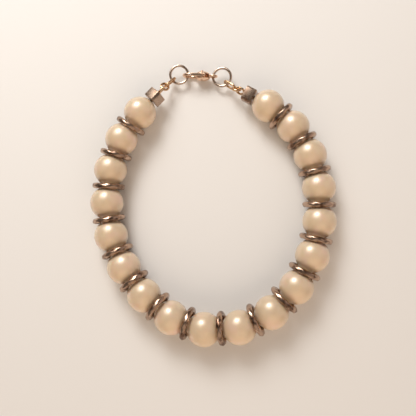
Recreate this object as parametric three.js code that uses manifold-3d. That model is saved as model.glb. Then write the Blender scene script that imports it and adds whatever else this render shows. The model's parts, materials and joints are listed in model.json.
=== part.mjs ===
// A bracelet of drilled pearls on a bead wire, with twisted spacer rings, end blocks,
// links and a lobster clasp, laid flat as a closed loop. Millimetres, +Z up.
import * as THREE from 'three';
import { mergeVertices } from 'three/addons/utils/BufferGeometryUtils.js';
import Module from 'manifold-3d';

const wasm = await Module();
wasm.setup();

// Beads on the string
const PEARL_COUNT = 18;
const PEARL_DIAMETER = 8.0;
const PEARL_GAP = 0.3;
const BORE_DIAMETER = 1.1;
const WIRE_DIAMETER = 0.5;
const SPACER_DIAMETER = 8.0;
const SPACER_WIRE = 1.26;
const SPACER_TURNS = 2;
const BLOCK_WIDTH = 3.7;
const BLOCK_LENGTH = 2.6;
const BLOCK_CHAMFER = 0.5;

// Wire loops, links and jump rings
const LOOP_WIDTH = 2.1;
const LOOP_LENGTH = 2.5;
const ROUND_LINK_LENGTH = 2.6;
const LONG_LINK_LENGTH = 4.3;
const LINK_WIDTH = 2.3;
const LINK_WIRE = 0.5;
const JUMP_RING_DIAMETER = 5.2;
const JUMP_RING_WIRE = 0.62;
const JUMP_RING_HOLD_DEG = 140;
const LINK_GAP = 0.24;
const RING_GAP = 0.3;

// Lobster clasp
const HOOK_THICKNESS = 0.85;
const HOOK_OPENING_LENGTH = 2.9;
const HOOK_OPENING_HEIGHT = 2.4;
const HOOK_TIP = 1.3;
const CLASP_INNER_LENGTH = 7.6;
const CLASP_BODY_LENGTH = 4.2;
const CLASP_BODY_WIDTH = 2.5;
const CLASP_BODY_HEIGHT = 3.3;
const CLASP_BODY_DROP = 0.15;
const CLASP_BODY_OVER_EYE = 0.6;
const EYE_BORE = 1.2;
const EYE_WALL = 0.6;
const EYE_THICKNESS = 0.8;
const SLOT_WIDTH = 1.0;
const SLOT_HEIGHT = 2.4;
const LEVER_HUB_DIAMETER = 1.6;
const LEVER_SIDE_GAP = 0.1;
const LEVER_TIP_GAP = 0.12;
const LEVER_NOSE_DROP = 0.1;
const RIVET_DIAMETER = 0.7;
const RIVET_GAP = 0.1;
const RIVET_HEAD = 0.12;
const RIVET_BACK = 0.1;
const RIVET_RISE = 0.45;
const CLASP_LEAN_DEG = 12;

// The slot's floor from front to back, measured from the rivet in shares of the clasp body's
// length and height
const SLOT_FLOOR = [
  { along: -0.524, up: -0.06 }, { along: -0.226, up: -0.394 }, { along: 0.167, up: -0.379 },
  { along: 0.357, up: -0.045 }, { along: 0.571, up: 0.379 },
];

// The lever behind its nose, measured from the rivet in shares of its hub's diameter: the knee
// under its arm, its thumb tab from back to front, and the top of its arm
const ARM_KNEE = { along: -0.94, up: 0.28 };
const LEVER_TOP = [
  { along: 0.44, up: 0.53 }, { along: 0.59, up: 0.94 }, { along: 0.5, up: 1.09 },
  { along: 0.25, up: 1.09 }, { along: 0.09, up: 0.66 }, { along: -0.69, up: 0.81 },
];

// Fineness of the round shapes
const PEARL_SIDES = 16;
const PEARL_BANDS = 9;
const SPACER_STEPS = 24;
const LINK_STEPS = 14;
const LINK_SIDES = 6;
const RING_STEPS = 16;
const RING_SIDES = 6;
const WIRE_SIDES = 8;
const WIRE_STEPS_PER_BEAD = 4;
const BORE_SIDES = 12;
const CLASP_STEPS = 12;
const SWELL_SIDES = 20;
const RIVET_SIDES = 10;
const ROUTE_SAMPLES = 4000;
const ROUTE_ROUNDS = 20;
const MERGE_DISTANCE = 1e-4;

// The loop's shape on the table, as chosen points. It is scaled to the length of the pieces.
const ROUTE = [
  [-3.8, 31.4], [-7.1, 30.1], [-9.5, 26.3], [-12.5, 22.9], [-14.9, 20.2],
  [-19.4, 11.8], [-20.8, 2.4], [-20.3, -6.6], [-16.8, -15.5], [-10.1, -24.2],
  [1.1, -31.0], [15.0, -29.9], [25.8, -20.6], [30.3, -7.6], [29.9, 5.6],
  [24.6, 17.4], [17.8, 23.5], [11.2, 26.3], [7.1, 29.2], [3.6, 31.4],
];

// How far a loose spacer's top leans forward along the string, in degrees, by its share of the way
const SPACER_LEANS = [
  { along: 0, lean: 10.5 }, { along: 0.22, lean: 10 }, { along: 0.5, lean: -9.5 },
  { along: 0.83, lean: -10 }, { along: 0.95, lean: -4 }, { along: 1, lean: -4 },
];

// How each side's pieces are turned about the string, in degrees from lying flat, and how high
// the joints of the links lie, as shares of the climb from the clasp to the string
const LEFT = { ring: -12, block: 22, loop: 78, round: -12, long: 74, roundRise: 1.1, longRise: 0.72 };
const RIGHT = { ring: 12, block: 11, loop: 55, round: -38, long: 80, roundRise: 0.9, longRise: 0.55 };

const METAL = { color: 0xc98f63, roughness: 0.25, metalness: 1 };
const GOLD = { color: 0xd9a94e, roughness: 0.25, metalness: 1 };
const PEARL = { color: 0xe9d3ac, roughness: 0.28, metalness: 0 };
const CLASP_METAL = { color: 0xd8a878, roughness: 0.2, metalness: 1 };

const pearlRadius = PEARL_DIAMETER / 2;
const boreRadius = BORE_DIAMETER / 2;
const hookRise = HOOK_OPENING_HEIGHT / 2 + HOOK_THICKNESS;
const degrees = THREE.MathUtils.degToRad;
const claspLean = degrees(CLASP_LEAN_DEG);
const claspRise = hookRise * Math.cos(claspLean) + HOOK_THICKNESS / 2 * Math.sin(claspLean);

// Solids for joining and cutting
function solid(geometry) {
  const bare = geometry.clone();
  bare.deleteAttribute('normal');
  bare.deleteAttribute('uv');
  const merged = mergeVertices(bare, MERGE_DISTANCE);
  return new wasm.Manifold(new wasm.Mesh({
    numProp: 3,
    vertProperties: new Float32Array(merged.attributes.position.array),
    triVerts: new Uint32Array(merged.index.array),
  }));
}

function geometryOf(body) {
  const mesh = body.getMesh();
  const geometry = new THREE.BufferGeometry();
  geometry.setAttribute('position', new THREE.BufferAttribute(mesh.vertProperties, 3));
  geometry.setIndex(new THREE.BufferAttribute(mesh.triVerts, 1));
  geometry.computeVertexNormals();
  return geometry;
}

// Loops of wire lie in their own XY plane, with the long way along X
function wireLoop(length, width, wire, steps, sides) {
  const radius = (width - wire) / 2;
  const stretch = (length - width) / 2;
  const geometry = new THREE.TorusGeometry(radius, wire / 2, sides, steps);
  const position = geometry.attributes.position;
  for (let i = 0; i < position.count; i += 1) {
    const x = position.getX(i);
    position.setX(i, x + stretch * Math.sign(Math.round(x * 1000)));
  }
  return geometry;
}

// A drilled pearl, its bore along X and a flat of its middle band facing down
function pearlGeometry() {
  const start = Math.asin(boreRadius / pearlRadius);
  const profile = [];
  for (let i = 0; i <= PEARL_BANDS; i += 1) {
    const angle = start + (Math.PI - 2 * start) * i / PEARL_BANDS;
    profile.push(new THREE.Vector2(pearlRadius * Math.sin(angle), -pearlRadius * Math.cos(angle)));
  }
  const flat = pearlRadius / Math.cos(Math.PI / PEARL_SIDES);
  profile[(PEARL_BANDS - 1) / 2].x = flat;
  profile[(PEARL_BANDS + 1) / 2].x = flat;
  profile.push(profile[0].clone());
  const geometry = new THREE.LatheGeometry(profile, PEARL_SIDES);
  geometry.rotateY(Math.PI / PEARL_SIDES);
  geometry.rotateZ(-Math.PI / 2);
  return geometry;
}

// A closed ring of square wire, twisted as it goes round, its axis along X
function spacerGeometry() {
  const middle = (SPACER_DIAMETER - SPACER_WIRE) / 2;
  const corner = SPACER_WIRE / 2;
  const geometry = new THREE.TorusGeometry(middle, corner, 4, SPACER_STEPS);
  const position = geometry.attributes.position;
  for (let i = 0; i < position.count; i += 1) {
    const round = 2 * Math.PI * (i % (SPACER_STEPS + 1)) / SPACER_STEPS;
    const side = Math.floor(i / (SPACER_STEPS + 1));
    const section = Math.PI / 2 * side + SPACER_TURNS * round;
    const reach = middle + corner * Math.cos(section);
    position.setXYZ(i, corner * Math.sin(section), reach * Math.cos(round), reach * Math.sin(round));
  }
  return geometry;
}

// A square block with chamfered long edges, its bore along X
function blockGeometry() {
  const half = BLOCK_WIDTH / 2;
  const flat = half - BLOCK_CHAMFER;
  const outline = new THREE.Shape([
    [-flat, -half], [flat, -half], [half, -flat], [half, flat],
    [flat, half], [-flat, half], [-half, flat], [-half, -flat],
  ].map(([x, y]) => new THREE.Vector2(x, y)));
  outline.holes.push(new THREE.Path().absarc(0, 0, boreRadius, 0, 2 * Math.PI, true));
  const settings = { depth: BLOCK_LENGTH, bevelEnabled: false, curveSegments: BORE_SIDES / 2 };
  const geometry = new THREE.ExtrudeGeometry(outline, settings);
  geometry.translate(0, 0, -BLOCK_LENGTH / 2);
  geometry.rotateY(Math.PI / 2);
  return geometry;
}

// The clasp's own frame: X from the hook to the eye, Z up, the ring's place in the hook at X = 0
const eyeCentre = CLASP_INNER_LENGTH - EYE_BORE / 2;
const eyeRadius = EYE_BORE / 2 + EYE_WALL;
const hookCentre = HOOK_OPENING_LENGTH / 2;
const bodyCentre = eyeCentre - eyeRadius + CLASP_BODY_OVER_EYE - CLASP_BODY_LENGTH / 2;
const rivetPlace = new THREE.Vector2(bodyCentre - RIVET_BACK, RIVET_RISE);

function sideSolid(shape, thickness) {
  const settings = { depth: thickness, bevelEnabled: false, curveSegments: CLASP_STEPS };
  const geometry = new THREE.ExtrudeGeometry(shape, settings);
  geometry.translate(0, 0, -thickness / 2);
  geometry.rotateX(Math.PI / 2);
  return solid(geometry);
}

function ellipse(x, z, halfLength, halfHeight) {
  return new THREE.Shape().absellipse(x, z, halfLength, halfHeight, 0, 2 * Math.PI);
}

function fromRivet({ along, up }, length, height) {
  return new THREE.Vector2(rivetPlace.x + along * length, rivetPlace.y + up * height);
}

function claspBodyGeometry() {
  const halfLength = HOOK_OPENING_LENGTH / 2;
  const halfHeight = HOOK_OPENING_HEIGHT / 2;
  const hook = sideSolid(
    ellipse(hookCentre, 0, halfLength + HOOK_THICKNESS, halfHeight + HOOK_THICKNESS), HOOK_THICKNESS);
  const swell = new THREE.SphereGeometry(1, SWELL_SIDES, CLASP_STEPS);
  swell.rotateX(Math.PI / 2);
  swell.scale(CLASP_BODY_LENGTH / 2, CLASP_BODY_WIDTH / 2, CLASP_BODY_HEIGHT / 2);
  swell.translate(bodyCentre, 0, -CLASP_BODY_DROP);
  const eye = sideSolid(ellipse(eyeCentre, 0, eyeRadius, eyeRadius), EYE_THICKNESS);
  const opening = sideSolid(ellipse(hookCentre, 0, halfLength, halfHeight), CLASP_BODY_WIDTH * 2);
  const eyeBore = sideSolid(ellipse(eyeCentre, 0, EYE_BORE / 2, EYE_BORE / 2), CLASP_BODY_WIDTH);
  const floor = SLOT_FLOOR.map((corner) => fromRivet(corner, CLASP_BODY_LENGTH, CLASP_BODY_HEIGHT));
  const slotTop = rivetPlace.y + SLOT_HEIGHT;
  const slot = sideSolid(new THREE.Shape([
    new THREE.Vector2(HOOK_TIP, rivetPlace.y), ...floor,
    new THREE.Vector2(floor[floor.length - 1].x, slotTop), new THREE.Vector2(HOOK_TIP, slotTop),
  ]), SLOT_WIDTH);
  const rivetRadius = RIVET_DIAMETER / 2;
  const rivet = new THREE.CylinderGeometry(
    rivetRadius, rivetRadius, CLASP_BODY_WIDTH + RIVET_HEAD, RIVET_SIDES);
  rivet.translate(rivetPlace.x, 0, rivetPlace.y);
  const body = hook.add(solid(swell)).add(eye).subtract(opening).subtract(eyeBore);
  return geometryOf(body.subtract(slot).add(solid(rivet)));
}

// The lever turns on the rivet. Its nose meets the hook's tip and its thumb tab stands on top.
function leverGeometry() {
  const { x, y } = rivetPlace;
  const tip = HOOK_TIP + LEVER_TIP_GAP;
  const thickness = SLOT_WIDTH - 2 * LEVER_SIDE_GAP;
  const outline = new THREE.Shape([
    new THREE.Vector2(tip, hookRise - LEVER_NOSE_DROP),
    new THREE.Vector2(tip, hookRise - HOOK_THICKNESS),
    fromRivet(ARM_KNEE, LEVER_HUB_DIAMETER, LEVER_HUB_DIAMETER),
  ]);
  outline.absarc(x, y, LEVER_HUB_DIAMETER / 2, Math.PI, 2 * Math.PI);
  for (const corner of LEVER_TOP) {
    const point = fromRivet(corner, LEVER_HUB_DIAMETER, LEVER_HUB_DIAMETER);
    outline.lineTo(point.x, point.y);
  }
  const bore = RIVET_DIAMETER / 2 + RIVET_GAP;
  outline.holes.push(new THREE.Path().absarc(x, y, bore, 0, 2 * Math.PI, true));
  const settings = { depth: thickness, bevelEnabled: false, curveSegments: BORE_SIDES / 2 };
  const geometry = new THREE.ExtrudeGeometry(outline, settings);
  geometry.translate(0, 0, -thickness / 2);
  geometry.rotateX(Math.PI / 2);
  return geometry;
}

// Reach of each piece between the places where it holds its neighbours
const ringReach = (JUMP_RING_DIAMETER / 2 - JUMP_RING_WIRE - RING_GAP / 2)
  * 2 * Math.sin(degrees(JUMP_RING_HOLD_DEG / 2));
const longReach = LONG_LINK_LENGTH - 2 * LINK_WIRE - LINK_GAP;
const roundReach = ROUND_LINK_LENGTH - 2 * LINK_WIRE - LINK_GAP;
const loopReach = LOOP_LENGTH - WIRE_DIAMETER - LINK_GAP / 2;
const endReach = loopReach + BLOCK_LENGTH;
const claspReach = CLASP_INNER_LENGTH - RING_GAP;
const pearlReach = PEARL_DIAMETER + PEARL_GAP;

// Joints of the string in order, each with its height and the reach to the next joint
const climb = pearlRadius - claspRise;
const leftJoints = [
  { height: claspRise, reach: ringReach },
  { height: claspRise, reach: longReach },
  { height: claspRise + climb * LEFT.longRise, reach: roundReach },
  { height: claspRise + climb * LEFT.roundRise, reach: endReach },
];
const joints = [
  ...leftJoints,
  ...Array.from({ length: PEARL_COUNT }, () => ({ height: pearlRadius, reach: pearlReach })),
  { height: pearlRadius, reach: endReach },
  { height: claspRise + climb * RIGHT.roundRise, reach: roundReach },
  { height: claspRise + climb * RIGHT.longRise, reach: longReach },
  { height: claspRise, reach: ringReach },
  { height: claspRise, reach: claspReach },
];
const firstBead = leftJoints.length;
const lastBead = firstBead + PEARL_COUNT;

// Steps along the closed route by straight reaches, and gives the joints' places
function walk(scale) {
  const chosen = ROUTE.map(([x, y]) => new THREE.Vector3(x * scale, y * scale, 0));
  const path = new THREE.CatmullRomCurve3(chosen, true).getPoints(ROUTE_SAMPLES);
  const places = [];
  let here = path[0];
  let at = 0;
  for (const [i, joint] of joints.entries()) {
    places.push(new THREE.Vector3(here.x, here.y, joint.height));
    const drop = joints[(i + 1) % joints.length].height - joint.height;
    const plan = Math.sqrt(joint.reach ** 2 - drop ** 2);
    let next = Math.floor(at) + 1;
    while (here.distanceTo(path[next % ROUTE_SAMPLES]) < plan) next += 1;
    const before = path[(next - 1) % ROUTE_SAMPLES];
    const after = path[next % ROUTE_SAMPLES];
    const near = here.distanceTo(before);
    const share = (plan - near) / (here.distanceTo(after) - near);
    here = before.clone().lerp(after, share);
    at = next - 1 + share;
  }
  return { places, turned: at / ROUTE_SAMPLES };
}

let scale = 1;
for (let i = 0; i < ROUTE_ROUNDS; i += 1) scale *= walk(scale).turned;
const { places } = walk(scale);

// Placing pieces: X along the string, Z up, then turned about the string
const bracelet = new THREE.Group();

function between(from, to) {
  const forward = to.clone().sub(from).normalize();
  const side = new THREE.Vector3(0, 0, 1).cross(forward).normalize();
  const up = forward.clone().cross(side);
  const basis = new THREE.Matrix4().makeBasis(forward, side, up);
  return new THREE.Quaternion().setFromRotationMatrix(basis);
}

function add(name, geometry, look, centre, turn) {
  const mesh = new THREE.Mesh(geometry, new THREE.MeshStandardMaterial(look));
  mesh.name = name;
  mesh.position.copy(centre);
  mesh.quaternion.copy(turn);
  bracelet.add(mesh);
  return mesh;
}

function turned(angle) {
  return new THREE.Quaternion().setFromAxisAngle(new THREE.Vector3(1, 0, 0), degrees(angle));
}

function midpoint(from, to) {
  return from.clone().lerp(to, 0.5);
}

function numbered(name, number) {
  return `${name}_${String(number).padStart(2, '0')}`;
}

function addPearls() {
  for (let i = 1; i <= PEARL_COUNT; i += 1) {
    const from = places[firstBead + i - 1];
    const to = places[firstBead + i];
    add(numbered('pearl', i), pearlGeometry(), PEARL, midpoint(from, to), between(from, to));
  }
}

function spacerLean(share) {
  const next = SPACER_LEANS.findIndex(({ along }) => along > share);
  const [low, high] = [SPACER_LEANS[next - 1], SPACER_LEANS[next]];
  return THREE.MathUtils.mapLinear(share, low.along, high.along, low.lean, high.lean);
}

// A spacer stands on the table halfway between the middles of two pearls, square to the string
function addSpacers() {
  for (let i = 1; i < PEARL_COUNT; i += 1) {
    const [before, joint, after] = places.slice(firstBead + i - 1, firstBead + i + 2);
    const centre = midpoint(midpoint(before, joint), midpoint(joint, after));
    centre.z = SPACER_DIAMETER / 2;
    add(numbered('spacer_ring', i), spacerGeometry(), METAL, centre, between(before, after))
      .rotateY(degrees(spacerLean(i / PEARL_COUNT)));
  }
}

// One side's jump ring, links and block. The first joint is at the clasp, the last at the pearls.
function addSide(side, [clasp, ring, long, round, bead], turns) {
  const ringRadius = (JUMP_RING_DIAMETER - JUMP_RING_WIRE) / 2;
  const offset = ringRadius * Math.cos(degrees(JUMP_RING_HOLD_DEG / 2));
  const middle = midpoint(clasp, ring);
  const outward = new THREE.Vector3(middle.x, middle.y, 0).normalize();
  const ringTurn = between(clasp, ring).multiply(turned(turns.ring));
  const across = new THREE.Vector3(0, 1, 0).applyQuaternion(ringTurn);
  const sign = Math.sign(across.dot(outward));
  const ringGeometry = wireLoop(
    JUMP_RING_DIAMETER, JUMP_RING_DIAMETER, JUMP_RING_WIRE, RING_STEPS, RING_SIDES);
  const ringCentre = middle.addScaledVector(across, sign * offset);
  add(`jump_ring_${side}`, ringGeometry, CLASP_METAL, ringCentre, ringTurn);
  const longLink = wireLoop(LONG_LINK_LENGTH, LINK_WIDTH, LINK_WIRE, LINK_STEPS, LINK_SIDES);
  add(`chain_link_${side}_long`, longLink, GOLD, midpoint(ring, long), between(ring, long))
    .rotateX(degrees(turns.long));
  const roundLink = wireLoop(ROUND_LINK_LENGTH, LINK_WIDTH, LINK_WIRE, LINK_STEPS, LINK_SIDES);
  add(`chain_link_${side}_round`, roundLink, GOLD, midpoint(long, round), between(long, round))
    .rotateX(degrees(turns.round));
  const blockCentre = bead.clone().lerp(round, BLOCK_LENGTH / 2 / endReach);
  add(`end_block_${side}`, blockGeometry(), METAL, blockCentre, between(round, bead))
    .rotateX(degrees(turns.block));
}

// The wire runs straight through each bead and ends in a loop past each block
function endLoop(round, bead, turn) {
  const geometry = wireLoop(LOOP_LENGTH, LOOP_WIDTH, WIRE_DIAMETER, LINK_STEPS, LINK_SIDES);
  const centre = bead.clone().lerp(round, (endReach - loopReach + LOOP_LENGTH / 2) / endReach);
  const quaternion = between(round, bead).multiply(turned(turn));
  geometry.applyMatrix4(new THREE.Matrix4().compose(centre, quaternion, new THREE.Vector3(1, 1, 1)));
  return geometry;
}

function addWire() {
  const [leftEnd, rightEnd] = [places[firstBead - 1], places[lastBead + 1]];
  const [leftBead, rightBead] = [places[firstBead], places[lastBead]];
  const inside = (endReach - loopReach + WIRE_DIAMETER / 2) / endReach;
  const points = [
    leftBead.clone().lerp(leftEnd, inside), ...places.slice(firstBead, lastBead + 1),
    rightBead.clone().lerp(rightEnd, inside),
  ];
  const path = new THREE.CatmullRomCurve3(points, false, 'catmullrom', 0);
  const section = new THREE.Shape().absarc(0, 0, WIRE_DIAMETER / 2, 0, 2 * Math.PI);
  const steps = WIRE_STEPS_PER_BEAD * (PEARL_COUNT + 1);
  const settings = { steps, extrudePath: path, curveSegments: WIRE_SIDES / 2 };
  const string = solid(new THREE.ExtrudeGeometry(section, settings));
  const left = solid(endLoop(leftEnd, leftBead, LEFT.loop));
  const right = solid(endLoop(rightEnd, rightBead, RIGHT.loop));
  const wire = geometryOf(string.add(left).add(right));
  add('bead_wire', wire, GOLD, new THREE.Vector3(), new THREE.Quaternion());
}

function addClasp(hookJoint, eyeJoint) {
  const turn = between(hookJoint, eyeJoint).multiply(turned(CLASP_LEAN_DEG));
  const start = hookJoint.clone().add(new THREE.Vector3(-RING_GAP / 2, 0, 0).applyQuaternion(turn));
  add('clasp_body', claspBodyGeometry(), CLASP_METAL, start, turn);
  add('clasp_lever', leverGeometry(), CLASP_METAL, start, turn);
}

addPearls();
addSpacers();
addWire();
addSide('left', places.slice(0, firstBead + 1), LEFT);
addSide('right', places.slice(lastBead).reverse(), RIGHT);
addClasp(places[0], places[places.length - 1]);

// The clasp is turned along X, and the whole is centred on the origin
const claspLine = places[places.length - 1].clone().sub(places[0]);
bracelet.rotation.z = -Math.atan2(claspLine.y, claspLine.x);
bracelet.updateMatrixWorld(true);
const box = new THREE.Box3().setFromObject(bracelet, true);
bracelet.position.set(-(box.min.x + box.max.x) / 2, -(box.min.y + box.max.y) / 2, -box.min.z);

export default bracelet;
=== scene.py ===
"""Dresses the bracelet of pearls, twisted spacer rings, blocks, links and lobster clasp."""
import json
import math

import bpy
from mathutils import Matrix, Vector


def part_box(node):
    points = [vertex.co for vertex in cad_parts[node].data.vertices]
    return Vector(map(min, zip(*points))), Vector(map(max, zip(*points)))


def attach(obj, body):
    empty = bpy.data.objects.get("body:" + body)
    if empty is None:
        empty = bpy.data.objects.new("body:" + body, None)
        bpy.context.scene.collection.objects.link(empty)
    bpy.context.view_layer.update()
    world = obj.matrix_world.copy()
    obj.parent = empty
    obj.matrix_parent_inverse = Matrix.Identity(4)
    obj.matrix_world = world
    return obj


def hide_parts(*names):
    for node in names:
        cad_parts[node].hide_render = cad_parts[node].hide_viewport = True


bl_info = {
    "name": "Pearl Bracelet",
    "version": (1, 0, 0),
    "blender": (4, 5, 0),
    "location": "View3D > Sidebar > Bracelet",
    "description": "Adds the pearls, rings, blocks, links, clasp and stage of a bead bracelet",
    "category": "Add Mesh",
}

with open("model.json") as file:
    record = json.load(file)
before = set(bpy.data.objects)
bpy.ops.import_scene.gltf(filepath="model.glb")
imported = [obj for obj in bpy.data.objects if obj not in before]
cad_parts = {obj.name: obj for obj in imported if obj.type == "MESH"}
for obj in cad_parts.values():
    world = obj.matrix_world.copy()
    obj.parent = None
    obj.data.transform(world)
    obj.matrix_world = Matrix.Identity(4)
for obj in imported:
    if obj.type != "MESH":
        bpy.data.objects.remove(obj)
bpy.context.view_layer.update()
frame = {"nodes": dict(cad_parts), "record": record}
nodes = frame["nodes"]
pearl_names = sorted(name for name in nodes if name.startswith("pearl_"))
spacer_names = sorted(name for name in nodes if name.startswith("spacer_ring_"))

# Pieces are shaped at the origin in millimetres, and are scaled to metres as they are placed
MM = 0.001
MERGE = 0.0005
UP = Vector((0, 0, 1))

# Edges flatter than these angles are shaded smooth, in degrees
ROUND_SHADING = 50
EDGED_SHADING = 40

# The search for the directions in which some points spread
FIRST_GUESS = (0.31, 0.87, 0.39)
GUESS_ROUNDS = 200


# Helpers for modelling

def deselect():
    """Leave edit mode and let go of every object."""
    if bpy.context.object and bpy.context.object.mode != "OBJECT":
        bpy.ops.object.mode_set(mode="OBJECT")
    bpy.ops.object.select_all(action="DESELECT")


def activate(piece):
    """Select one object alone and make it the active one."""
    deselect()
    piece.select_set(True)
    bpy.context.view_layer.objects.active = piece


def named(name):
    """Name the object that was just added."""
    piece = bpy.context.object
    piece.name = name
    piece.data.name = name
    return piece


def edit(piece, mode):
    """Open one object for editing with nothing selected."""
    activate(piece)
    bpy.ops.object.mode_set(mode="EDIT")
    bpy.ops.mesh.select_mode(type=mode)
    bpy.ops.mesh.select_all(action="DESELECT")
    bpy.ops.object.mode_set(mode="OBJECT")


def select_edges(piece, test):
    """Select the edges whose two ends pass a test, then go on in edit mode."""
    edit(piece, "EDGE")
    points = piece.data.vertices
    for edge in piece.data.edges:
        edge.select = test(*(points[i].co for i in edge.vertices))
    bpy.ops.object.mode_set(mode="EDIT")


def select_faces(piece, test):
    """Select the faces that pass a test, then go on in edit mode."""
    edit(piece, "FACE")
    for face in piece.data.polygons:
        face.select = test(face)
    bpy.ops.object.mode_set(mode="EDIT")


def select_open_edges(piece):
    """Select the edges that have a face on one side alone, then go on in edit mode."""
    edit(piece, "EDGE")
    counts = {}
    for face in piece.data.polygons:
        for key in face.edge_keys:
            counts[key] = counts.get(key, 0) + 1
    for edge in piece.data.edges:
        edge.select = counts.get(edge.key, 0) == 1
    bpy.ops.object.mode_set(mode="EDIT")


def clean(piece):
    """Merge doubled points and turn all faces outwards."""
    activate(piece)
    bpy.ops.object.mode_set(mode="EDIT")
    bpy.ops.mesh.select_all(action="SELECT")
    bpy.ops.mesh.remove_doubles(threshold=MERGE)
    bpy.ops.mesh.normals_make_consistent(inside=False)
    bpy.ops.object.mode_set(mode="OBJECT")


def modify(piece, kind, **settings):
    """Add a modifier, set it and apply it."""
    activate(piece)
    modifier = piece.modifiers.new(kind, kind)
    for key, value in settings.items():
        setattr(modifier, key, value)
    bpy.ops.object.modifier_apply(modifier=modifier.name)


def remove(piece):
    """Delete an object."""
    bpy.data.objects.remove(piece, do_unlink=True)


def cut(piece, tool):
    """Cut one object with another and remove the cutter."""
    modify(piece, "BOOLEAN", operation="DIFFERENCE", solver="EXACT", object=tool)
    remove(tool)


def join(first, *others):
    """Join objects into the first one."""
    activate(first)
    for other in others:
        other.select_set(True)
    bpy.ops.object.join()
    return first


def smooth(piece, degrees):
    """Smooth the shading across all but the sharper edges."""
    activate(piece)
    bpy.ops.object.shade_smooth_by_angle(angle=math.radians(degrees))


def copied(piece, name):
    """Copy an object with its own mesh."""
    activate(piece)
    bpy.ops.object.duplicate(linked=False)
    return named(name)


def move(piece, matrix):
    """Move an object and put its place in its mesh."""
    activate(piece)
    piece.matrix_world = matrix
    bpy.ops.object.transform_apply(location=True, rotation=True, scale=True)


def move_unscaled(piece, matrix):
    """Move an object that stays in millimetres to a place in metres."""
    move(piece, Matrix.Scale(1 / MM, 4) @ matrix @ Matrix.Scale(MM, 4))


def settle(piece, matrix):
    """Place a finished piece and scale it to metres."""
    move(piece, matrix @ Matrix.Scale(MM, 4))


def finish(piece, material, slot, body, *replaced):
    """Give a piece its material, hang it on its body and hide the frame parts that it stands for."""
    piece.data.materials.clear()
    piece.data.materials.append(material)
    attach(piece, body)
    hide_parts(*replaced)


# Helpers that read places from the frame

def corners(node):
    """Give the points of a frame node, each once."""
    seen = {tuple(round(c, 7) for c in v.co) for v in node.data.vertices}
    return [Vector(point) for point in sorted(seen)]


def middle(node_name):
    """Give the middle of a frame node's box."""
    low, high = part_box(node_name)
    return (Vector(low) + Vector(high)) / 2


def basis(place, along, up):
    """Make a matrix from a place, its X direction and a rough Z direction."""
    along = along.normalized()
    side = up.cross(along).normalized()
    up = along.cross(side)
    turn = Matrix((along, side, up)).transposed().to_4x4()
    return Matrix.Translation(place) @ turn


def spread(points):
    """Give the middle of some points and their directions, from the widest to the thinnest."""
    centre = sum(points, Vector()) / len(points)
    offsets = [point - centre for point in points]
    table = Matrix([[sum(p[i] * p[j] for p in offsets) for j in range(3)] for i in range(3)])
    directions = []
    for _ in range(2):
        guess = Vector(FIRST_GUESS)
        for _ in range(GUESS_ROUNDS):
            guess = table @ guess
            for known in directions:
                guess -= known * guess.dot(known)
            guess.normalize()
        directions.append(guess)
    directions.append(directions[0].cross(directions[1]).normalized())
    return centre, directions


def side_directions(node):
    """Give a block's directions, from its largest faces to its smaller ones."""
    areas = {}
    for face in node.data.polygons:
        key = tuple(round(abs(c), 2) for c in face.normal)
        area, normal = areas.get(key, (0.0, face.normal.copy()))
        areas[key] = (area + face.area, normal)
    return [normal for _, normal in sorted(areas.values(), key=lambda pair: -pair[0])[:3]]


def string_joints():
    """Give the places where the bores of neighbouring pearls meet, with one more at each end."""
    middles = [middle(name) for name in pearl_names]
    ways = [after - before for before, after in zip(middles, middles[1:])]
    bores = [spread(corners(nodes[name]))[1][0] for name in pearl_names]
    bores = [bore if bore.dot(way) > 0 else -bore for bore, way in zip(bores, [*ways, ways[-1]])]
    joints = [place + bore * way.length / (bore + other).length
              for place, bore, other, way in zip(middles, bores, bores[1:], ways)]
    return [2 * middles[0] - joints[0], *joints, 2 * middles[-1] - joints[-1]]


# Materials. Noise scales count the features in a metre, and relief is a strength and a depth in metres.

NACRE_METALLIC = 0.12
NACRE_ROUGHNESS = 0.36
NACRE_GLOSS = (0.3, 0.44)
NACRE_CLOUD_SCALE = 260.0
NACRE_GLOSS_SCALE = 900.0
NACRE_PIT_SCALE = 620.0
NACRE_PIT_REACH = 0.16
NACRE_CLOUD_RELIEF = (0.12, 0.00008)
NACRE_PIT_RELIEF = (0.1, 0.00001)
NACRE_INPUTS = {
    "Subsurface Weight": 0.25,
    "Subsurface Radius": (1.0, 0.62, 0.32),
    "Subsurface Scale": 0.0012,
    "Specular IOR Level": 0.9,
    "Coat Weight": 0.75,
    "Coat Roughness": 0.1,
    "Coat IOR": 1.5,
    "Sheen Weight": 0.08,
    "Sheen Roughness": 0.4,
}

PLATE_CLOUD_SCALE = 520.0
PLATE_GLOSS_SCALE = 1400.0
PLATE_SCRATCH_SCALE = 2600.0
PLATE_SCRATCH_STRETCH = (1.0, 0.12, 1.0)
PLATE_SCRATCH_DEPTH = 0.000006
PLATE_WAVE_SCALE = 700.0
PLATE_WAVE_RELIEF = (0.25, 0.00003)
PLATE_BRIGHTEST = 1.12

FLOOR_ROUGHNESS = 0.85
FLOOR_GRAIN_SCALE = 900.0
FLOOR_GRAIN_RELIEF = (0.04, 0.00002)


def fresh_material(name, colour, metallic, roughness):
    """Start a material and give its nodes, links and shader."""
    material = bpy.data.materials.new(name)
    material.use_nodes = True
    tree = material.node_tree
    shader = tree.nodes["Principled BSDF"]
    shader.inputs["Base Color"].default_value = (*colour, 1.0)
    shader.inputs["Metallic"].default_value = metallic
    shader.inputs["Roughness"].default_value = roughness
    return material, tree, shader


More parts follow.
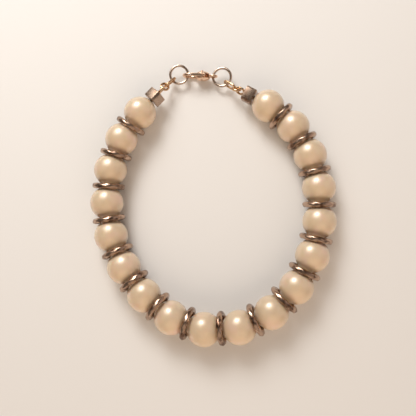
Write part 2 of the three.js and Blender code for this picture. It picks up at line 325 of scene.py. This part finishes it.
def noise(tree, scale, detail, roughness=0.5, stretch=(1.0, 1.0, 1.0)):
    """Add noise in the piece's own coordinates."""
    coordinates = tree.nodes.new("ShaderNodeTexCoord")
    mapping = tree.nodes.new("ShaderNodeMapping")
    texture = tree.nodes.new("ShaderNodeTexNoise")
    mapping.inputs["Scale"].default_value = stretch
    texture.inputs["Scale"].default_value = scale
    texture.inputs["Detail"].default_value = detail
    texture.inputs["Roughness"].default_value = roughness
    tree.links.new(coordinates.outputs["Object"], mapping.inputs["Vector"])
    tree.links.new(mapping.outputs["Vector"], texture.inputs["Vector"])
    return texture


def ramp(tree, source, stops):
    """Turn a factor into colours."""
    colours = tree.nodes.new("ShaderNodeValToRGB")
    elements = colours.color_ramp.elements
    while len(elements) < len(stops):
        elements.new(0.5)
    for element, (place, colour) in zip(elements, stops):
        element.position = place
        element.color = (*colour, 1.0)
    tree.links.new(source, colours.inputs["Fac"])
    return colours.outputs["Color"]


def spans(tree, source, low, high, top=1.0):
    """Turn a factor from 0 to its top into a number between two ends."""
    change = tree.nodes.new("ShaderNodeMapRange")
    change.inputs["From Max"].default_value = top
    change.inputs["To Min"].default_value = low
    change.inputs["To Max"].default_value = high
    tree.links.new(source, change.inputs["Value"])
    return change.outputs["Result"]


def bump(tree, shader, heights):
    """Chain bumps, each with its source, strength and depth."""
    normal = None
    for source, strength, depth in heights:
        relief = tree.nodes.new("ShaderNodeBump")
        relief.inputs["Strength"].default_value = strength
        relief.inputs["Distance"].default_value = depth
        tree.links.new(source, relief.inputs["Height"])
        if normal:
            tree.links.new(normal, relief.inputs["Normal"])
        normal = relief.outputs["Normal"]
    tree.links.new(normal, shader.inputs["Normal"])


def shaded(colour, factor):
    """Make a colour lighter or darker."""
    return tuple(min(1.0, channel * factor) for channel in colour)


def pearl_lustre(colour, overtone):
    """Make the cream nacre: cloudy colour, a soft body, a clear coat and fine pits."""
    material, tree, shader = fresh_material("pearl_lustre", colour, NACRE_METALLIC, NACRE_ROUGHNESS)
    for name, value in NACRE_INPUTS.items():
        shader.inputs[name].default_value = value
    shader.inputs["Sheen Tint"].default_value = (*overtone, 1.0)
    cloud = noise(tree, NACRE_CLOUD_SCALE, 4.0, 0.55)
    stops = [(0.3, shaded(colour, 0.93)), (0.5, colour), (0.72, overtone)]
    tree.links.new(ramp(tree, cloud.outputs["Fac"], stops), shader.inputs["Base Color"])
    fine = noise(tree, NACRE_GLOSS_SCALE, 2.0)
    tree.links.new(spans(tree, fine.outputs["Fac"], *NACRE_GLOSS), shader.inputs["Roughness"])
    pits = tree.nodes.new("ShaderNodeTexVoronoi")
    coordinates = tree.nodes.new("ShaderNodeTexCoord")
    pits.inputs["Scale"].default_value = NACRE_PIT_SCALE
    tree.links.new(coordinates.outputs["Object"], pits.inputs["Vector"])
    hollow = spans(tree, pits.outputs["Distance"], 0.0, 1.0, NACRE_PIT_REACH)
    bump(tree, shader, [(cloud.outputs["Fac"], *NACRE_CLOUD_RELIEF), (hollow, *NACRE_PIT_RELIEF)])
    return material


def plated_metal(name, colour, tarnish, roughness, grain, worn=0.32):
    """Make polished plate: cloudy tarnish, uneven gloss, fine scratches and a soft wave.

    The grain is the strength of the scratches, and the tarnish covers up to the share worn.
    """
    material, tree, shader = fresh_material(name, colour, 1.0, roughness)
    cloud = noise(tree, PLATE_CLOUD_SCALE, 4.0, 0.6)
    stops = [(worn, tarnish), (worn + 0.16, colour), (worn + 0.4, shaded(colour, PLATE_BRIGHTEST))]
    tree.links.new(ramp(tree, cloud.outputs["Fac"], stops), shader.inputs["Base Color"])
    patches = noise(tree, PLATE_GLOSS_SCALE, 3.0, 0.6)
    gloss = spans(tree, patches.outputs["Fac"], roughness * 0.6, roughness * 1.5)
    tree.links.new(gloss, shader.inputs["Roughness"])
    scratches = noise(tree, PLATE_SCRATCH_SCALE, 2.0, 0.7, PLATE_SCRATCH_STRETCH)
    wave = noise(tree, PLATE_WAVE_SCALE, 1.0)
    bump(tree, shader, [
        (wave.outputs["Fac"], *PLATE_WAVE_RELIEF),
        (scratches.outputs["Fac"], grain, PLATE_SCRATCH_DEPTH),
    ])
    return material


# Sizes and colours that a user would change

def length(name, default, description):
    """Make a length property in millimetres."""
    return bpy.props.FloatProperty(
        name=name, description=description, default=default, min=0.01, precision=3)


def tint(name, default, description):
    """Make a colour property."""
    return bpy.props.FloatVectorProperty(
        name=name, description=description, default=default, subtype="COLOR", size=3, min=0.0, max=1.0)


def chosen(context):
    """Give the sizes and the colours that the scene holds."""
    return context.scene.bracelet_sizes, context.scene.bracelet_colours


class BraceletSizes(bpy.types.PropertyGroup):
    """Sizes of the pieces, in millimetres."""

    pearl: length("Pearl", 8.0, "Diameter of a pearl")
    bore: length("Bore", 1.1, "Diameter of the bore through a pearl or block")
    spacer: length("Spacer ring", 7.98, "Outer diameter of a twisted ring")
    spacer_wire: length("Spacer wire", 1.18, "Side of the ring's square wire")
    spacer_edge: length("Spacer edge", 0.36, "Rounding of the ring's square wire")
    block_length: length("Block length", 2.6, "Length of an end block along the string")
    block_width: length("Block width", 3.7, "Width of an end block")
    block_chamfer: length("Block chamfer", 0.5, "Chamfer of the long edges of an end block")
    wire: length("Bead wire", 0.56, "Diameter of the bead wire and of its loops")
    loop_length: length("Loop length", 2.56, "Length of the wire's end loop")
    loop_width: length("Loop width", 2.16, "Width of the wire's end loop")
    link_wire: length("Link wire", 0.6, "Thickness of a link")
    link_width: length("Link width", 2.4, "Width of a link")
    round_link: length("Round link", 2.7, "Length of a round link")
    long_link: length("Long link", 4.4, "Length of a long link")
    jump_ring: length("Jump ring", 5.26, "Outer diameter of a jump ring")
    jump_wire: length("Jump ring wire", 0.68, "Thickness of a jump ring")
    lever_thickness: length("Lever thickness", 0.8, "Thickness of the clasp's lever")


class BraceletColours(bpy.types.PropertyGroup):
    """Colours of the finishes."""

    nacre: tint("Nacre", (0.70, 0.545, 0.375), "Main colour of the pearls")
    overtone: tint("Overtone", (0.73, 0.53, 0.405), "Second colour that clouds the pearls")
    rose: tint("Rose plate", (0.50, 0.35, 0.26), "Colour of the twisted rings")
    rose_tarnish: tint("Rose tarnish", (0.13, 0.07, 0.045), "Darker places of the twisted rings")
    block: tint("Block plate", (0.40, 0.29, 0.22), "Colour of the end blocks")
    block_tarnish: tint("Block tarnish", (0.26, 0.15, 0.10), "Darker places of the end blocks")
    gold: tint("Gold plate", (0.74, 0.50, 0.30), "Colour of the links and the bead wire")
    gold_tarnish: tint("Gold tarnish", (0.42, 0.25, 0.11), "Darker places of the links")
    clasp: tint("Clasp plate", (0.80, 0.57, 0.42), "Colour of the clasp")
    clasp_tarnish: tint("Clasp tarnish", (0.50, 0.30, 0.19), "Darker places of the clasp")
    ring: tint("Jump ring plate", (0.60, 0.47, 0.38), "Colour of the jump rings")
    ring_tarnish: tint("Jump ring tarnish", (0.38, 0.27, 0.20), "Darker places of the jump rings")
    floor: tint("Floor", (0.76, 0.745, 0.73), "Colour of the floor")


# Pearls

PEARL_SEGMENTS = 56
PEARL_BANDS = 36


def pearl_master(sizes):
    """Model one drilled pearl at the origin, its bore along X."""
    bpy.ops.mesh.primitive_uv_sphere_add(
        segments=PEARL_SEGMENTS, ring_count=PEARL_BANDS, radius=sizes.pearl / 2,
        rotation=(0, math.pi / 2, 0))
    pearl = named("pearl_master")
    bpy.ops.object.transform_apply(rotation=True)
    select_faces(pearl, lambda face: math.hypot(face.center.y, face.center.z) < sizes.bore / 2)
    bpy.ops.mesh.delete(type="FACE")
    select_open_edges(pearl)
    bpy.ops.mesh.bridge_edge_loops()
    bpy.ops.object.mode_set(mode="OBJECT")
    clean(pearl)
    smooth(pearl, ROUND_SHADING)
    return pearl


class BRACELET_OT_pearls(bpy.types.Operator):
    """Add the drilled pearls on the string"""

    bl_idname = "bracelet.pearls"
    bl_label = "Add Pearls"

    def execute(self, context):
        sizes, colours = chosen(context)
        lustre = pearl_lustre(colours.nacre, colours.overtone)
        master = pearl_master(sizes)
        joints = string_joints()
        for name, before, after in zip(pearl_names, joints, joints[1:]):
            pearl = copied(master, "nacre_" + name)
            settle(pearl, basis((before + after) / 2, after - before, UP))
            finish(pearl, lustre, "pearl", "bracelet", name)
        remove(master)
        return {"FINISHED"}


# Twisted spacer rings

SPACER_TURNS = 2
SPACER_CUTS = 95


def spacer_master(sizes):
    """Model one ring of twisted square wire at the origin, its axis along X."""
    side = sizes.spacer_wire
    reach = side / math.sqrt(2) - sizes.spacer_edge * (math.sqrt(2) - 1)
    radius = sizes.spacer / 2 - reach
    around = 2 * math.pi * radius
    bpy.ops.mesh.primitive_cube_add(size=1, scale=(around, side, side))
    ring = named("spacer_master")
    bpy.ops.object.transform_apply(scale=True)
    select_edges(ring, lambda a, b: abs(a.x - b.x) > around / 2)
    bpy.ops.mesh.bevel(offset=sizes.spacer_edge, segments=3, profile=0.5, affect="EDGES")
    select_faces(ring, lambda face: abs(face.normal.x) > 0.9)
    bpy.ops.mesh.delete(type="ONLY_FACE")
    select_edges(ring, lambda a, b: abs(a.x - b.x) > around / 2)
    bpy.ops.mesh.subdivide(number_cuts=SPACER_CUTS)
    bpy.ops.object.mode_set(mode="OBJECT")
    modify(ring, "SIMPLE_DEFORM", deform_method="TWIST", deform_axis="X", angle=2 * math.pi * SPACER_TURNS)
    modify(ring, "SIMPLE_DEFORM", deform_method="BEND", deform_axis="Z", angle=2 * math.pi)
    clean(ring)
    points = [v.co.copy() for v in ring.data.vertices]
    centre = sum(points, Vector()) / len(points)
    outer = max(points, key=lambda p: (p - centre).xy.length) - centre
    phase = math.atan2(outer.y, outer.x)
    stand = Matrix.Rotation(math.pi / 2, 4, "Z") @ Matrix.Rotation(math.pi / 2, 4, "X")
    move(ring, stand @ Matrix.Rotation(-phase, 4, "Z") @ Matrix.Translation(-centre))
    smooth(ring, EDGED_SHADING)
    return ring


class BRACELET_OT_spacers(bpy.types.Operator):
    """Add the twisted rings between the pearls"""

    bl_idname = "bracelet.spacers"
    bl_label = "Add Spacer Rings"

    def execute(self, context):
        sizes, colours = chosen(context)
        metal = plated_metal("twisted_ring_plate", colours.rose, colours.rose_tarnish, 0.23, 0.2, 0.36)
        master = spacer_master(sizes)
        for name in spacer_names:
            centre, directions = spread(corners(nodes[name]))
            ring = copied(master, "plated_" + name)
            settle(ring, basis(centre, directions[2], UP))
            finish(ring, metal, "twisted_metal", "bracelet", name)
        remove(master)
        return {"FINISHED"}


# End blocks

BLOCK_EDGE = 0.09
BORE_SIDES = 48


def block_master(sizes):
    """Model one bored block at the origin, its bore along X."""
    width = sizes.block_width
    bpy.ops.mesh.primitive_cube_add(size=1, scale=(sizes.block_length, width, width))
    block = named("block_master")
    bpy.ops.object.transform_apply(scale=True)
    select_edges(block, lambda a, b: abs(a.x - b.x) > sizes.block_length / 2)
    bpy.ops.mesh.bevel(offset=sizes.block_chamfer, segments=1, affect="EDGES")
    bpy.ops.object.mode_set(mode="OBJECT")
    bpy.ops.mesh.primitive_cylinder_add(
        vertices=BORE_SIDES, radius=sizes.bore / 2, depth=sizes.block_length * 2,
        rotation=(0, math.pi / 2, 0))
    cut(block, named("bore_cutter"))
    modify(block, "BEVEL", width=BLOCK_EDGE, segments=3, limit_method="ANGLE", angle_limit=math.radians(30))
    clean(block)
    smooth(block, EDGED_SHADING)
    return block


class BRACELET_OT_blocks(bpy.types.Operator):
    """Add the two square blocks that end the string"""

    bl_idname = "bracelet.blocks"
    bl_label = "Add End Blocks"

    def execute(self, context):
        sizes, colours = chosen(context)
        metal = plated_metal("block_plate", colours.block, colours.block_tarnish, 0.26, 0.6)
        master = block_master(sizes)
        for side in ("left", "right"):
            name = "end_block_" + side
            ends, face, _ = side_directions(nodes[name])
            block = copied(master, "plated_" + name)
            settle(block, basis(middle(name), ends, face))
            finish(block, metal, "block_metal", "bracelet", name)
        remove(master)
        return {"FINISHED"}


# Links, jump rings and the bead wire

LOOP_STEPS = 72
LOOP_SIDES = 18
SPLIT_WIDTH = 0.035
RUN_BEVEL_STEPS = 4

# The crimp's ring, its wire and its place past the block, as shares of the bead wire's diameter
CRIMP_RADIUS = 0.75
CRIMP_WIRE = 0.36
CRIMP_PLACE = 0.3
CRIMP_STEPS = 32
CRIMP_SIDES = 12

# Where the frame's wire counts as its end loop: past the block by this share of the wire's
# diameter, and within this share of the loop's length
LOOP_START = 0.6
LOOP_REACH = 1.3


def wire_loop(name, long_side, width, wire, split):
    """Model a closed loop of round wire in the XY plane, long along X, cut finely where it closes when it
    is split.
    """
    radius = (width - wire) / 2
    stretch = (long_side - width) / 2
    bpy.ops.mesh.primitive_torus_add(
        major_segments=LOOP_STEPS, minor_segments=LOOP_SIDES, major_radius=radius, minor_radius=wire / 2)
    loop = named(name)
    for point in loop.data.vertices:
        if abs(point.co.x) > MERGE:
            point.co.x += math.copysign(stretch, point.co.x)
    if split:
        bpy.ops.mesh.primitive_cube_add(
            size=1, scale=(SPLIT_WIDTH, wire * 2, wire * 3), location=(0, radius, 0))
        cut(loop, named("split_cutter"))
    clean(loop)
    smooth(loop, ROUND_SHADING)
    return loop


class BRACELET_OT_links(bpy.types.Operator):
    """Add the links and the jump rings"""

    bl_idname = "bracelet.links"
    bl_label = "Add Links and Jump Rings"

    def execute(self, context):
        sizes, colours = chosen(context)
        gold = plated_metal("link_plate", colours.gold, colours.gold_tarnish, 0.18, 0.3)
        pale = plated_metal("jump_ring_plate", colours.ring, colours.ring_tarnish, 0.18, 0.15, 0.25)
        kinds = [
            ("chain_link_{}_long", sizes.long_link, sizes.link_width, sizes.link_wire, gold, "gold_wire"),
            ("chain_link_{}_round", sizes.round_link, sizes.link_width, sizes.link_wire, gold, "gold_wire"),
            ("jump_ring_{}", sizes.jump_ring, sizes.jump_ring, sizes.jump_wire, pale, "clasp_metal"),
        ]
        for side in ("left", "right"):
            for pattern, long_side, width, wire, metal, slot in kinds:
                name = pattern.format(side)
                centre, directions = spread(corners(nodes[name]))
                loop = wire_loop("wire_" + name, long_side, width, wire, True)
                settle(loop, basis(centre, directions[0], directions[2]))
                finish(loop, metal, slot, "bracelet", name)
        return {"FINISHED"}


def wire_run(points, diameter):
    """Run a round wire through some points, and turn it into a mesh."""
    bpy.ops.curve.primitive_nurbs_path_add()
    run = named("bead_wire_run")
    run.data.splines.clear()
    spline = run.data.splines.new("POLY")
    spline.points.add(len(points) - 1)
    for point, place in zip(spline.points, points):
        point.co = (*(place / MM), 1.0)
    run.data.dimensions = "3D"
    run.data.bevel_depth = diameter / 2
    run.data.bevel_resolution = RUN_BEVEL_STEPS
    run.data.use_fill_caps = True
    activate(run)
    bpy.ops.object.convert(target="MESH")
    return named("bead_wire_run")


def end_loop(sizes, bead, block):
    """Place the wire's loop past a block, and a small crimp where it leaves the block."""
    along = (block - bead).normalized()
    face = bead + along * ((block - bead).length + sizes.block_length / 2 * MM)
    start = sizes.wire * LOOP_START * MM
    reach = sizes.loop_length * LOOP_REACH * MM
    points = [point for point in corners(nodes["bead_wire"])
              if (point - face).dot(along) > start and (point - face).length < reach]
    _, directions = spread(points)
    loop = wire_loop("loop", sizes.loop_length, sizes.loop_width, sizes.wire, False)
    move_unscaled(loop, basis(face + along * (sizes.loop_length / 2 * MM), along, directions[2]))
    bpy.ops.mesh.primitive_torus_add(
        major_segments=CRIMP_STEPS, minor_segments=CRIMP_SIDES,
        major_radius=sizes.wire * CRIMP_RADIUS, minor_radius=sizes.wire * CRIMP_WIRE)
    crimp = named("crimp")
    move_unscaled(crimp, basis(face + along * (sizes.wire * CRIMP_PLACE * MM), UP.cross(along), along))
    return loop, crimp, face


class BRACELET_OT_wire(bpy.types.Operator):
    """Add the bead wire with its two end loops"""

    bl_idname = "bracelet.wire"
    bl_label = "Add Bead Wire"

    def execute(self, context):
        sizes, colours = chosen(context)
        gold = plated_metal("bead_wire_plate", colours.gold, colours.gold_tarnish, 0.2, 0.3)
        joints = string_joints()
        *left, left_face = end_loop(sizes, joints[0], middle("end_block_left"))
        *right, right_face = end_loop(sizes, joints[-1], middle("end_block_right"))
        run = wire_run([left_face, *joints, right_face], sizes.wire)
        wire = join(run, *left, *right)
        wire.name = "gold_bead_wire"
        wire.data.name = wire.name
        smooth(wire, ROUND_SHADING)
        settle(wire, Matrix())
        finish(wire, gold, "gold_wire", "bracelet", "bead_wire")
        return {"FINISHED"}


# Lobster clasp, in its own frame: X from the hook to the eye, Z up, the ring's place at X = 0

HOOK_CENTRE = 1.45
HOOK_OPENING = (1.45, 1.2)
HOOK_THICKNESS = 0.85
HOOK_BREADTH = 1.75
HOOK_TIP = 1.3
HOOK_STEPS = (96, 24)
SWELL_STEPS = (64, 40)
SWELL_CENTRE = (4.3, 0.0, -0.15)
SWELL_SIZE = (2.1, 1.25, 1.65)
EYE_CENTRE = 7.0
EYE_RADII = (0.9, 0.3)
EYE_STEPS = (64, 20)
CUTTER_DEPTH = 6
SLOT_WIDTH = 1.0
SLOT_HEIGHT = 2.4
RIVET = (4.2, 0.45)
RIVET_RADIUS = 0.35
RIVET_BORE = 0.45
RIVET_REACH = 1.29
RIVET_SIDES = 32
RIVET_INSET = 0.1
RIVET_EDGE = 0.07
LEVER_HUB = 0.8
LEVER_HUB_STEPS = 16
LEVER_TIP_GAP = 0.12
LEVER_NOSE_DROP = 0.1
LEVER_BORE_SIDES = 40
LEVER_BORE_DEPTH = 4
LEVER_EDGE = 0.13
CLASP_VOXEL = 0.05
CLASP_KEPT_FACES = 0.45

# Corners measured from the rivet, along the clasp and then up
SLOT_FLOOR = [(-2.2, -0.2), (-0.95, -1.3), (0.7, -1.25), (1.5, -0.15), (2.4, 1.25)]
ARM_KNEE = (-1.5, 0.45)
LEVER_TOP = [(0.7, 0.85), (0.95, 1.5), (0.8, 1.75), (0.4, 1.75), (0.15, 1.05), (-1.1, 1.3)]


def clasp_frame():
    """Give the clasp's place from the lever's hinge."""
    hinge = frame["record"]["behaviour"]["joints"][0]
    across = Vector(hinge["axis"]).normalized()
    along = across.cross(UP).normalized()
    turn = Matrix((along, across, along.cross(across))).transposed().to_4x4()
    rivet = Vector((RIVET[0] * MM, 0, RIVET[1] * MM))
    return Matrix.Translation(Vector(hinge["pos_m"])) @ turn @ Matrix.Translation(-rivet)


def plate(name, outline, thickness):
    """Model a flat plate from an outline of X and Z, centred on Y = 0."""
    bpy.ops.mesh.primitive_circle_add(vertices=len(outline), fill_type="NGON")
    piece = named(name)
    for point, (x, z) in zip(piece.data.vertices, outline):
        point.co = (x, -thickness / 2, z)
    activate(piece)
    bpy.ops.object.mode_set(mode="EDIT")
    bpy.ops.mesh.select_all(action="SELECT")
    bpy.ops.mesh.extrude_region_move(TRANSFORM_OT_translate={"value": (0, thickness, 0)})
    bpy.ops.object.mode_set(mode="OBJECT")
    clean(piece)
    return piece


def oval(x, z, half_length, half_height, count=64):
    """Give the points of an oval of X and Z."""
    turns = [2 * math.pi * i / count for i in range(count)]
    return [(x + half_length * math.cos(t), z + half_height * math.sin(t)) for t in turns]


def from_rivet(offsets):
    """Turn offsets from the rivet into places."""
    return [(RIVET[0] + x, RIVET[1] + z) for x, z in offsets]


def rivet_pin():
    """Model the rivet with a domed head at each end."""
    bpy.ops.mesh.primitive_cylinder_add(
        vertices=RIVET_SIDES, radius=RIVET_RADIUS, depth=RIVET_REACH * 2, rotation=(math.pi / 2, 0, 0),
        location=(RIVET[0], 0, RIVET[1]))
    pin = named("rivet_pin")
    bpy.ops.object.transform_apply(location=True, rotation=True)
    select_faces(pin, lambda face: abs(face.normal.y) > 0.9)
    bpy.ops.mesh.inset(thickness=RIVET_INSET, use_individual=True)
    bpy.ops.object.mode_set(mode="OBJECT")
    modify(pin, "BEVEL", width=RIVET_EDGE, segments=3, limit_method="ANGLE", angle_limit=math.radians(40))
    return pin


def clasp_hook():
    """Model the hook as a whole oval ring, which the slot opens later."""
    half = HOOK_THICKNESS / 2
    bpy.ops.mesh.primitive_torus_add(
        major_segments=HOOK_STEPS[0], minor_segments=HOOK_STEPS[1], major_radius=1.0,
        minor_radius=half / HOOK_BREADTH, rotation=(math.pi / 2, 0, 0))
    hook = named("hook")
    bpy.ops.object.transform_apply(rotation=True)
    hook.scale = (HOOK_OPENING[0] + half, HOOK_BREADTH, HOOK_OPENING[1] + half)
    hook.location.x = HOOK_CENTRE
    bpy.ops.object.transform_apply(location=True, scale=True)
    return hook


def clasp_swell():
    """Model the swelling that holds the lever, cut back from the hook's opening and the eye."""
    bpy.ops.mesh.primitive_uv_sphere_add(
        segments=SWELL_STEPS[0], ring_count=SWELL_STEPS[1], radius=1, rotation=(math.pi / 2, 0, 0))
    swell = named("swell")
    bpy.ops.object.transform_apply(rotation=True)
    swell.scale = SWELL_SIZE
    swell.location = SWELL_CENTRE
    bpy.ops.object.transform_apply(location=True, scale=True)
    cut(swell, plate("opening_cutter", oval(HOOK_CENTRE, 0, *HOOK_OPENING), CUTTER_DEPTH))
    inner = EYE_RADII[0] - EYE_RADII[1]
    cut(swell, plate("eye_cutter", oval(EYE_CENTRE, 0, inner, inner), CUTTER_DEPTH))
    return swell


def clasp_eye():
    """Model the eye that holds the right jump ring."""
    bpy.ops.mesh.primitive_torus_add(
        major_segments=EYE_STEPS[0], minor_segments=EYE_STEPS[1],
        major_radius=EYE_RADII[0], minor_radius=EYE_RADII[1],
        location=(EYE_CENTRE, 0, 0), rotation=(math.pi / 2, 0, 0))
    eye = named("eye")
    bpy.ops.object.transform_apply(location=True, rotation=True)
    return eye


def clasp_body():
    """Model the clasp's body: hook, swelling, eye, slot and rivet."""
    hook = clasp_hook()
    swell = clasp_swell()
    body = join(swell, hook, clasp_eye())
    modify(body, "REMESH", mode="VOXEL", voxel_size=CLASP_VOXEL)
    floor = from_rivet(SLOT_FLOOR)
    top = RIVET[1] + SLOT_HEIGHT
    cut(body, plate("slot_cutter", [
        (HOOK_TIP, RIVET[1]), *floor, (floor[-1][0], top), (HOOK_TIP, top)], SLOT_WIDTH))
    modify(body, "REMESH", mode="VOXEL", voxel_size=CLASP_VOXEL)
    modify(body, "SMOOTH", factor=0.5, iterations=4)
    modify(body, "DECIMATE", ratio=CLASP_KEPT_FACES)
    body = join(body, rivet_pin())
    smooth(body, ROUND_SHADING)
    return body


def clasp_lever(sizes):
    """Model the clasp's lever with its thumb tab and rivet hole."""
    tip = HOOK_TIP + LEVER_TIP_GAP
    outer = HOOK_OPENING[1] + HOOK_THICKNESS
    turns = [math.pi + math.pi * i / LEVER_HUB_STEPS for i in range(LEVER_HUB_STEPS + 1)]
    hub = [(LEVER_HUB * math.cos(t), LEVER_HUB * math.sin(t)) for t in turns]
    outline = [(tip, outer - LEVER_NOSE_DROP), (tip, outer - HOOK_THICKNESS),
               *from_rivet([ARM_KNEE, *hub, *LEVER_TOP])]
    lever = plate("lever", outline, sizes.lever_thickness)
    bpy.ops.mesh.primitive_cylinder_add(
        vertices=LEVER_BORE_SIDES, radius=RIVET_BORE, depth=LEVER_BORE_DEPTH,
        rotation=(math.pi / 2, 0, 0), location=(RIVET[0], 0, RIVET[1]))
    cut(lever, named("rivet_cutter"))
    modify(lever, "BEVEL", width=LEVER_EDGE, segments=4, limit_method="ANGLE", angle_limit=math.radians(32))
    clean(lever)
    smooth(lever, ROUND_SHADING)
    return lever


class BRACELET_OT_clasp(bpy.types.Operator):
    """Add the lobster clasp's body and lever"""

    bl_idname = "bracelet.clasp"
    bl_label = "Add Clasp"

    def execute(self, context):
        sizes, colours = chosen(context)
        metal = plated_metal("clasp_plate", colours.clasp, colours.clasp_tarnish, 0.2, 0.12, 0.2)
        place = clasp_frame()
        body = clasp_body()
        body.name = "cast_clasp_body"
        settle(body, place)
        finish(body, metal, "clasp_metal", "bracelet", "clasp_body")
        lever = clasp_lever(sizes)
        lever.name = "cast_clasp_lever"
        settle(lever, place)
        finish(lever, metal, "clasp_metal", "lever", "clasp_lever")
        return {"FINISHED"}


# Floor, lights and camera

CAMERA_PLACE = Vector((7.52, -23.38, 122.59)) * MM
CAMERA_RIGHT = Vector((0.9965, 0.0580, -0.0605))
CAMERA_UP = Vector((-0.0465, 0.9831, 0.1771))
CAMERA_ANGLE = 45
CAMERA_NEAR = 0.005

FLOOR_SIZE = 3.0
AIR_COLOUR = (0.34, 0.30, 0.27)
AIR_STRENGTH = 0.5

# Each lamp's direction, distance and size in metres, power and colour
LIGHTS = [
    {"name": "key_core", "from": (-0.30, 0.68, 0.67), "far": 0.32, "size": 0.137, "watts": 0.53,
     "colour": (1.0, 0.98, 0.95)},
    {"name": "key_softbox", "from": (-0.34, 0.64, 0.69), "far": 0.34, "size": 0.32, "watts": 0.55,
     "colour": (1.0, 0.97, 0.92)},
    {"name": "pink_fill", "from": (0.92, 0.20, 0.35), "far": 0.50, "size": 0.60, "watts": 0.35,
     "colour": (1.0, 0.82, 0.76)},
    {"name": "warm_low", "from": (0.22, -0.84, 0.50), "far": 0.60, "size": 0.90, "watts": 0.9,
     "colour": (1.0, 0.80, 0.62)},
    {"name": "front_fill", "from": (0.12, -0.90, 0.42), "far": 0.55, "size": 0.70, "watts": 2.3,
     "colour": (1.0, 0.79, 0.60), "reflected": False},
]


def add_floor(colour):
    """Add the pale floor."""
    deselect()
    bpy.ops.mesh.primitive_plane_add(size=FLOOR_SIZE)
    floor = named("pale_floor")
    material, tree, shader = fresh_material("floor_paint", colour, 0.0, FLOOR_ROUGHNESS)
    grain = noise(tree, FLOOR_GRAIN_SCALE, 2.0)
    bump(tree, shader, [(grain.outputs["Fac"], *FLOOR_GRAIN_RELIEF)])
    floor.data.materials.append(material)


def add_lamp(scene, light):
    """Add one round soft lamp that faces the origin."""
    data = bpy.data.lights.new(light["name"], "AREA")
    data.shape = "DISK"
    data.energy = light["watts"]
    data.size = light["size"]
    data.color = light["colour"]
    lamp = bpy.data.objects.new(light["name"], data)
    lamp.visible_glossy = light.get("reflected", True)
    scene.collection.objects.link(lamp)
    direction = Vector(light["from"]).normalized()
    lamp.location = direction * light["far"]
    lamp.rotation_euler = direction.to_track_quat("Z", "Y").to_euler()


def add_air(scene):
    """Add the dim light from all round, and show colours as they are."""
    world = bpy.data.worlds.new("studio_air")
    world.use_nodes = True
    air = world.node_tree.nodes["Background"]
    air.inputs["Color"].default_value = (*AIR_COLOUR, 1.0)
    air.inputs["Strength"].default_value = AIR_STRENGTH
    scene.world = world
    scene.view_settings.view_transform = "Standard"


def add_camera(scene):
    """Add the camera at the photo's angle."""
    data = bpy.data.cameras.new("photo_camera")
    data.angle = math.radians(CAMERA_ANGLE)
    data.clip_start = CAMERA_NEAR
    camera = bpy.data.objects.new("photo_camera", data)
    scene.collection.objects.link(camera)
    back = CAMERA_RIGHT.cross(CAMERA_UP).normalized()
    turn = Matrix((CAMERA_RIGHT, back.cross(CAMERA_RIGHT), back)).transposed().to_4x4()
    camera.matrix_world = Matrix.Translation(CAMERA_PLACE) @ turn
    scene.camera = camera


class BRACELET_OT_stage(bpy.types.Operator):
    """Add the pale floor, the soft lights and the camera"""

    bl_idname = "bracelet.stage"
    bl_label = "Add Stage"

    def execute(self, context):
        scene = context.scene
        add_floor(scene.bracelet_colours.floor)
        for light in LIGHTS:
            add_lamp(scene, light)
        add_air(scene)
        add_camera(scene)
        return {"FINISHED"}


class BRACELET_PT_panel(bpy.types.Panel):
    """List the bracelet's pieces in the sidebar"""

    bl_idname = "BRACELET_PT_panel"
    bl_label = "Pearl Bracelet"
    bl_space_type = "VIEW_3D"
    bl_region_type = "UI"
    bl_category = "Bracelet"

    def draw(self, context):
        for operator in OPERATORS:
            self.layout.operator(operator.bl_idname)


OPERATORS = [
    BRACELET_OT_pearls,
    BRACELET_OT_spacers,
    BRACELET_OT_blocks,
    BRACELET_OT_links,
    BRACELET_OT_wire,
    BRACELET_OT_clasp,
    BRACELET_OT_stage,
]
CLASSES = [BraceletSizes, BraceletColours, *OPERATORS, BRACELET_PT_panel]


def register():
    """Register the classes and the scene's settings."""
    for item in CLASSES:
        bpy.utils.register_class(item)
    bpy.types.Scene.bracelet_sizes = bpy.props.PointerProperty(type=BraceletSizes)
    bpy.types.Scene.bracelet_colours = bpy.props.PointerProperty(type=BraceletColours)


def unregister():
    """Remove the scene's settings and the classes."""
    del bpy.types.Scene.bracelet_colours
    del bpy.types.Scene.bracelet_sizes
    for item in reversed(CLASSES):
        bpy.utils.unregister_class(item)


def main():
    """Register the classes, then add every piece."""
    register()
    bpy.ops.bracelet.pearls()
    bpy.ops.bracelet.spacers()
    bpy.ops.bracelet.blocks()
    bpy.ops.bracelet.links()
    bpy.ops.bracelet.wire()
    bpy.ops.bracelet.clasp()
    bpy.ops.bracelet.stage()


if __name__ == "__main__":
    main()
